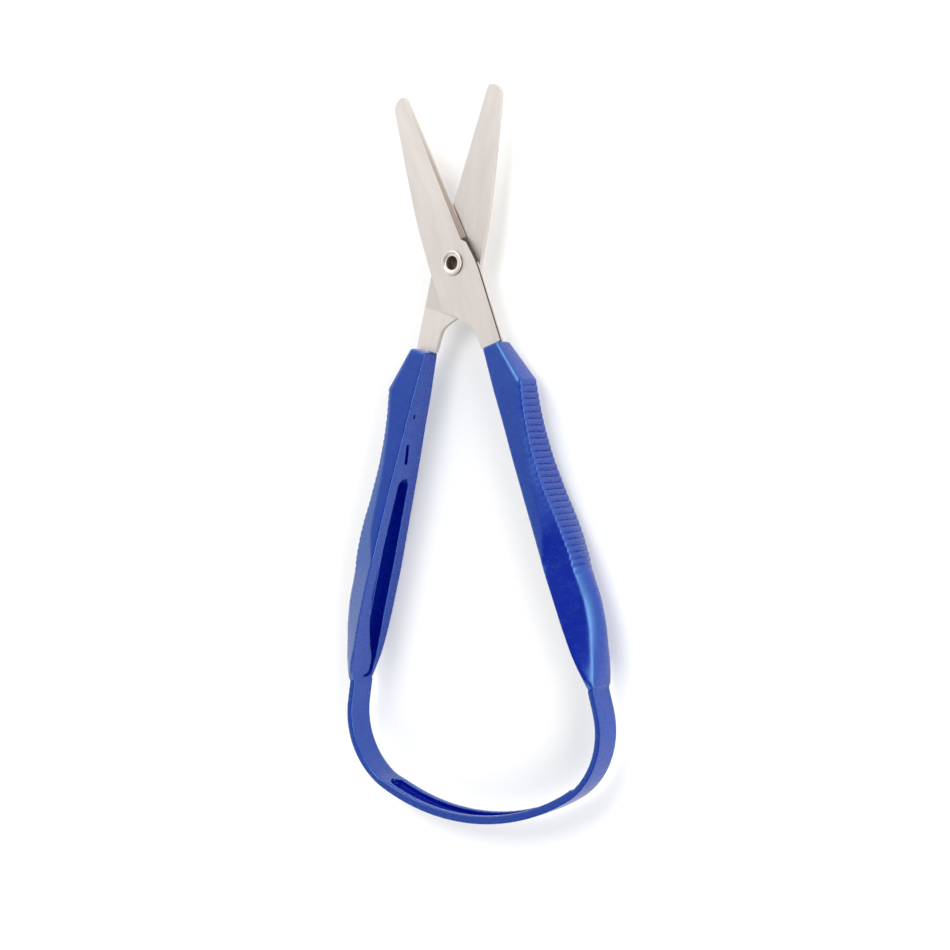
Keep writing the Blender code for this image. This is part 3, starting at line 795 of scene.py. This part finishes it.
def add_rivet(material, bore_and_rim_shade_material):
    """A semi-tubular rivet: a low domed head below, and a rolled rim round its hole above."""
    low, high = RIVET_BOX[0].z - PIVOT.z, RIVET_BOX[1].z - PIVOT.z
    profile = rivet_profile(low, high)

    def make(shape):
        bottom = shape.verts.new((0.0, 0.0, low))
        floor = shape.verts.new((0.0, 0.0, low + BORE_FLOOR))
        turns = [2 * pi * k / RIVET_STEPS for k in range(RIVET_STEPS)]
        rows = []
        for radius, height in profile:
            rows.append([shape.verts.new((radius * cos(a), radius * sin(a), height)) for a in turns])
        for i in range(RIVET_STEPS):
            j = (i + 1) % RIVET_STEPS
            shape.faces.new((bottom, rows[0][j], rows[0][i]))
            shape.faces.new((floor, rows[-1][i], rows[-1][j]))
            for near, far in zip(rows, rows[1:]):
                shape.faces.new((near[i], near[j], far[j], far[i]))
    mesh = mesh_from("rivet_rolled", make)
    rivet = add_piece("rivet_rolled", mesh, material, ["rivet"])
    mesh.materials.append(bore_and_rim_shade_material)
    rim_low = high - RIM_HEIGHT
    bore_top = rim_low + ROLL_FOOT + ROLL_HEIGHT * sin(radians(ROLL_ANGLES[-2]))
    for face in mesh.polygons:
        spot = Vector(face.center) / MM - PIVOT
        radius = spot.to_2d().length
        in_bore = radius < BORE_RADIUS + BORE_ROOM and low + BORE_LOW < spot.z < bore_top
        # the rim's outer side takes the bore's dark look as painted shade
        rim_side_painted_shade = radius > RIM_RADIUS - WALL_INSET and rim_low < spot.z < high - WALL_TOP
        face.material_index = int(in_bore or rim_side_painted_shade)
    finish_surface(rivet)
    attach(rivet, "left_half")


# ---------------------------------------------------------------- materials

def new_material(name):
    """An empty material with its node tree and its shader."""
    material = bpy.data.materials.new(name)
    material.use_nodes = True
    tree = material.node_tree
    tree.nodes.clear()
    shader = tree.nodes.new("ShaderNodeBsdfPrincipled")
    output = tree.nodes.new("ShaderNodeOutputMaterial")
    tree.links.new(shader.outputs["BSDF"], output.inputs["Surface"])
    return material, tree, shader


def rest_place(tree, turn=0.0, stretch=(1.0, 1.0, 1.0)):
    """The rest place in millimetres, turned about Z and stretched for the grain."""
    place = tree.nodes.new("ShaderNodeAttribute")
    place.attribute_name = "rest_place"
    mapping = tree.nodes.new("ShaderNodeMapping")
    mapping.inputs["Rotation"].default_value = (0.0, 0.0, turn)
    tree.links.new(place.outputs["Vector"], mapping.inputs["Vector"])
    squeeze = tree.nodes.new("ShaderNodeMapping")
    squeeze.inputs["Scale"].default_value = stretch
    tree.links.new(mapping.outputs["Vector"], squeeze.inputs["Vector"])
    return squeeze.outputs["Vector"]


def noise(tree, vector, scale, detail, roughness=0.55):
    """Noise over a vector in millimetres, from 0 to 1."""
    node = tree.nodes.new("ShaderNodeTexNoise")
    node.inputs["Scale"].default_value = scale
    node.inputs["Detail"].default_value = detail
    node.inputs["Roughness"].default_value = roughness
    tree.links.new(vector, node.inputs["Vector"])
    return node.outputs["Fac"]


def ramp(tree, value, stops):
    """A colour ramp from (position, colour) stops; a colour may be one number."""
    node = tree.nodes.new("ShaderNodeValToRGB")
    elements = node.color_ramp.elements
    while len(elements) < len(stops):
        elements.new(0.5)
    for element, (position, colour) in zip(elements, stops):
        element.position = position
        element.color = (*colour, 1.0) if hasattr(colour, "__len__") else (colour, colour, colour, 1.0)
    tree.links.new(value, node.inputs["Fac"])
    return node.outputs["Color"]


def map_range(tree, value, source, target=(0.0, 1.0)):
    """Read a value's place in one range as the same place in another, held at both ends."""
    node = tree.nodes.new("ShaderNodeMapRange")
    node.inputs["From Min"].default_value, node.inputs["From Max"].default_value = source
    node.inputs["To Min"].default_value, node.inputs["To Max"].default_value = target
    tree.links.new(value, node.inputs["Value"])
    return node.outputs["Result"]


def bump(tree, shader, heights):
    """Chain bumps of (height, strength, distance in metres) into the shader's normal."""
    normal = None
    for height, strength, distance in heights:
        node = tree.nodes.new("ShaderNodeBump")
        node.inputs["Strength"].default_value = strength
        node.inputs["Distance"].default_value = distance
        tree.links.new(height, node.inputs["Height"])
        if normal:
            tree.links.new(normal, node.inputs["Normal"])
        normal = node.outputs["Normal"]
    tree.links.new(normal, shader.inputs["Normal"])


def blue_plastic(name, shine):
    """Royal blue moulded plastic: faintly orange-peeled, with slight flow streaks; shine is its gloss, and
    the channel's copy with little shine is painted shade.
    """
    material, tree, shader = new_material(name)
    place = rest_place(tree)
    flow = noise(tree, rest_place(tree, 0.0, (1.0, 0.18, 1.0)), 0.22, 3.0)
    tree.links.new(ramp(tree, flow, [(0.3, (0.0, 0.0020, 0.180)), (0.7, (0.0, 0.0040, 0.205))]),
                   shader.inputs["Base Color"])
    scuffs = noise(tree, place, 0.5, 2.0)
    tree.links.new(ramp(tree, scuffs, [(0.35, 0.24), (0.7, 0.30)]), shader.inputs["Roughness"])
    shader.inputs["IOR"].default_value = 1.6
    shader.inputs["Specular IOR Level"].default_value = shine
    shader.inputs["Specular Tint"].default_value = (0.34, 0.74, 1.0, 1.0)
    peel = noise(tree, place, 0.8, 1.0)
    grain = noise(tree, place, 4.0, 1.0)
    bump(tree, shader, [(peel, 0.08, 0.0002), (grain, 0.05, 0.00005)])
    return material


def blade_steel(name, side, tone=1.0):
    """Satin stainless sheet, ground across its length, warm and pale."""
    material, tree, shader = new_material(name)
    turn = -side * REST
    broad = noise(tree, rest_place(tree, turn, (0.6, 0.12, 1.0)), 0.5, 3.0)
    dim, pale = Vector((0.625, 0.573, 0.544)) * tone, Vector((0.684, 0.633, 0.605)) * tone
    tree.links.new(ramp(tree, broad, [(0.3, dim), (0.7, pale)]), shader.inputs["Base Color"])
    shader.inputs["Metallic"].default_value = 1.0
    streaks = noise(tree, rest_place(tree, turn, (0.25, 9.0, 1.0)), 1.0, 5.0, 0.65)
    tree.links.new(ramp(tree, streaks, [(0.3, 0.36), (0.7, 0.46)]), shader.inputs["Roughness"])
    cloudy = noise(tree, rest_place(tree, turn), 0.35, 3.0)
    bump(tree, shader, [(streaks, 0.10, 0.00003), (cloudy, 0.05, 0.0002)])
    return material


def ground_bevel(name):
    """The ground strip along the upper cutting edge: coarser, and browner towards the heel."""
    material, tree, shader = new_material(name)
    heights = tree.nodes.new("ShaderNodeSeparateXYZ")
    tree.links.new(rest_place(tree), heights.inputs["Vector"])
    share = map_range(tree, heights.outputs["Y"], BEVEL_RUN)
    stops = [(0.0, (0.19, 0.150, 0.125)), (0.5, (0.28, 0.240, 0.21)), (1.0, (0.46, 0.43, 0.39))]
    tree.links.new(ramp(tree, share, stops), shader.inputs["Base Color"])
    shader.inputs["Metallic"].default_value = 1.0
    grain = noise(tree, rest_place(tree, -REST, (9.0, 0.6, 1.0)), 1.0, 4.0)
    tree.links.new(ramp(tree, grain, [(0.3, 0.40), (0.7, 0.52)]), shader.inputs["Roughness"])
    bump(tree, shader, [(grain, 0.1, 0.00003)])
    return material


def painted_shade_edge(name, split):
    """The sheet's cut side with painted shade: dark brown and dull above a height, clean below it."""
    material, tree, shader = new_material(name)
    place = rest_place(tree)
    heights = tree.nodes.new("ShaderNodeSeparateXYZ")
    tree.links.new(place, heights.inputs["Vector"])
    shift = tree.nodes.new("ShaderNodeMath")
    shift.operation = "SUBTRACT"
    shift.inputs[1].default_value = split - 0.5
    tree.links.new(heights.outputs["Z"], shift.inputs[0])
    tree.links.new(ramp(tree, shift.outputs[0], [(0.4, (0.60, 0.555, 0.53)), (0.6, (0.045, 0.033, 0.026))]),
                   shader.inputs["Base Color"])
    tree.links.new(ramp(tree, shift.outputs[0], [(0.4, 1.0), (0.6, 0.25)]), shader.inputs["Metallic"])
    shader.inputs["Roughness"].default_value = 0.5
    shader.inputs["Specular IOR Level"].default_value = 0.2
    bump(tree, shader, [(noise(tree, rest_place(tree, 0.0, (2.0, 2.0, 0.3)), 2.0, 4.0), 0.2, 0.00005)])
    return material


def rivet_steel():
    """The rivet's outside: tumbled steel, a little uneven."""
    material, tree, shader = new_material("rivet_steel_look")
    place = rest_place(tree)
    shade = noise(tree, place, 1.3, 4.0)
    tree.links.new(ramp(tree, shade, [(0.3, (0.57, 0.53, 0.505)), (0.7, (0.68, 0.635, 0.605))]),
                   shader.inputs["Base Color"])
    shader.inputs["Metallic"].default_value = 1.0
    tree.links.new(ramp(tree, noise(tree, place, 3.0, 5.0), [(0.3, 0.34), (0.7, 0.44)]),
                   shader.inputs["Roughness"])
    bump(tree, shader, [(noise(tree, place, 2.2, 3.0), 0.12, 0.0001)])
    return material


def bore_and_rim_shade_steel():
    """Inside the rivet: duller and dark brown; on the rim's side the same look is painted shade."""
    material, tree, shader = new_material("rivet_bore_and_rim_shade_look")
    shade = noise(tree, rest_place(tree), 1.8, 5.0)
    tree.links.new(ramp(tree, shade, [(0.3, (0.16, 0.115, 0.09)), (0.7, (0.34, 0.27, 0.225))]),
                   shader.inputs["Base Color"])
    shader.inputs["Metallic"].default_value = 0.8
    shader.inputs["Roughness"].default_value = 0.45
    bump(tree, shader, [(shade, 0.2, 0.0001)])
    return material


def floor_white():
    """A plain matt white table."""
    material, _, shader = new_material("white_table")
    shader.inputs["Base Color"].default_value = (0.9075, 0.9075, 0.8955, 1.0)
    shader.inputs["Roughness"].default_value = 0.9
    shader.inputs["Specular IOR Level"].default_value = 0.1
    return material


# ---------------------------------------------------------------- stage, in metres

FLOOR_SIZE = 3.0
FLOOR_GAP = 0.0001
LIGHT_AIM = (0.0, -0.02, 0.0)
CAMERA_PLACE = (0.3119, 0.0026, 0.4440)
CAMERA_AIM = (0.0033, -0.0051, 0.0077)
CAMERA_ROLL = radians(2.6)
CAMERA_LENS = 73.1              # in millimetres, on a 36 mm sensor


def add_floor():
    """The table, a hair below the object."""
    bpy.ops.mesh.primitive_plane_add(size=FLOOR_SIZE, location=(0.0, 0.0, CAD_BOX[0].z - FLOOR_GAP))
    floor = bpy.context.object
    floor.name = "floor"
    floor.data.materials.append(floor_white())


def add_softbox(name, place, size, power):
    """A soft box in metres and watts, facing the middle of the object."""
    data = bpy.data.lights.new(name, "AREA")
    data.shape = "RECTANGLE"
    data.size, data.size_y = size
    data.energy = power
    light = bpy.data.objects.new(name, data)
    light.location = place
    light.rotation_euler = (Vector(LIGHT_AIM) - Vector(place)).to_track_quat("-Z", "Y").to_euler()
    bpy.context.collection.objects.link(light)


def add_world():
    """A white room, dimmer above so that what faces up stays deep blue, and a little at the left."""
    room = bpy.data.worlds.new("studio")
    room.use_nodes = True
    tree = room.node_tree
    background = tree.nodes["Background"]
    background.inputs["Color"].default_value = (1.0, 1.0, 1.0, 1.0)
    direction = tree.nodes.new("ShaderNodeTexCoord")
    parts = tree.nodes.new("ShaderNodeSeparateXYZ")
    tree.links.new(direction.outputs["Generated"], parts.inputs["Vector"])
    strength = tree.nodes.new("ShaderNodeMath")
    strength.operation = "MULTIPLY"
    tree.links.new(map_range(tree, parts.outputs["Z"], (0.45, 0.70), (2.25, 0.12)), strength.inputs[0])
    tree.links.new(map_range(tree, parts.outputs["X"], (-0.85, -0.35), (0.62, 1.0)), strength.inputs[1])
    tree.links.new(strength.outputs[0], background.inputs["Strength"])
    bpy.context.scene.world = room


def add_lights():
    """Soft boxes: the ones at the left are what the flat steel reflects."""
    add_softbox("left_high", (-0.80, -0.02, 0.88), (1.1, 1.1), 2.6)
    add_softbox("tips_high", (-0.45, 0.75, 0.80), (0.7, 0.7), 1.5)
    add_softbox("key", (-0.12, 0.72, 1.12), (0.7, 0.7), 7.8)
    add_softbox("right_panel", (1.25, -0.2, 0.68), (1.4, 0.8), 12.5)
    add_world()


def add_camera():
    """The main view, from above and the +X side, rolled a little."""
    data = bpy.data.cameras.new("camera")
    data.lens = CAMERA_LENS
    data.sensor_width = 36.0
    data.clip_start, data.clip_end = 0.01, 10.0
    camera = bpy.data.objects.new("camera", data)
    forward = (Vector(CAMERA_AIM) - Vector(CAMERA_PLACE)).normalized()
    up = Matrix.Rotation(CAMERA_ROLL, 3, forward) @ Vector((0.0, 1.0, 0.0))
    back = -forward
    right = up.cross(back).normalized()
    up = back.cross(right)
    camera.matrix_world = Matrix((right, up, back)).transposed().to_4x4()
    camera.location = CAMERA_PLACE
    bpy.context.collection.objects.link(camera)
    bpy.context.scene.camera = camera
    bpy.context.scene.view_settings.view_transform = "Standard"


# ---------------------------------------------------------------- assembly

add_camera()
add_lights()
add_floor()
plastic = blue_plastic("blue_plastic_look", 1.0)
# the channel's copy reflects little, as painted shade in the recess
channel_shade_plastic = blue_plastic("channel_painted_shade_look", 0.15)
add_blade("lower_blade_ground", -1, "lower_blade", "left_half", LOWER_BOX,
          [blade_steel("lower_blade_look", -1, 0.93), blade_steel("lower_bevel_look", -1, 0.75),
           blade_steel("lower_shank_look", -1, 1.08)])
# the upper blade's two cut-side looks are painted shade
add_blade("upper_blade_ground", 1, "upper_blade", "right_half", UPPER_BOX,
          [blade_steel("upper_blade_look", 1), ground_bevel("upper_bevel_look"),
           painted_shade_edge("shank_edge_painted_shade_look", 0.9), painted_shade_edge("heel_painted_shade_look", -1.0)])
# the bore's dark look is also painted shade on the rim's side
add_rivet(rivet_steel(), bore_and_rim_shade_steel())
add_grip("left_grip_moulding", -1, "left_grip", "band_left_1", LOWER_BOX, plastic)
add_grip("right_grip_moulding", 1, "right_grip", "band_right_1", UPPER_BOX, plastic)
add_band(plastic, channel_shade_plastic)
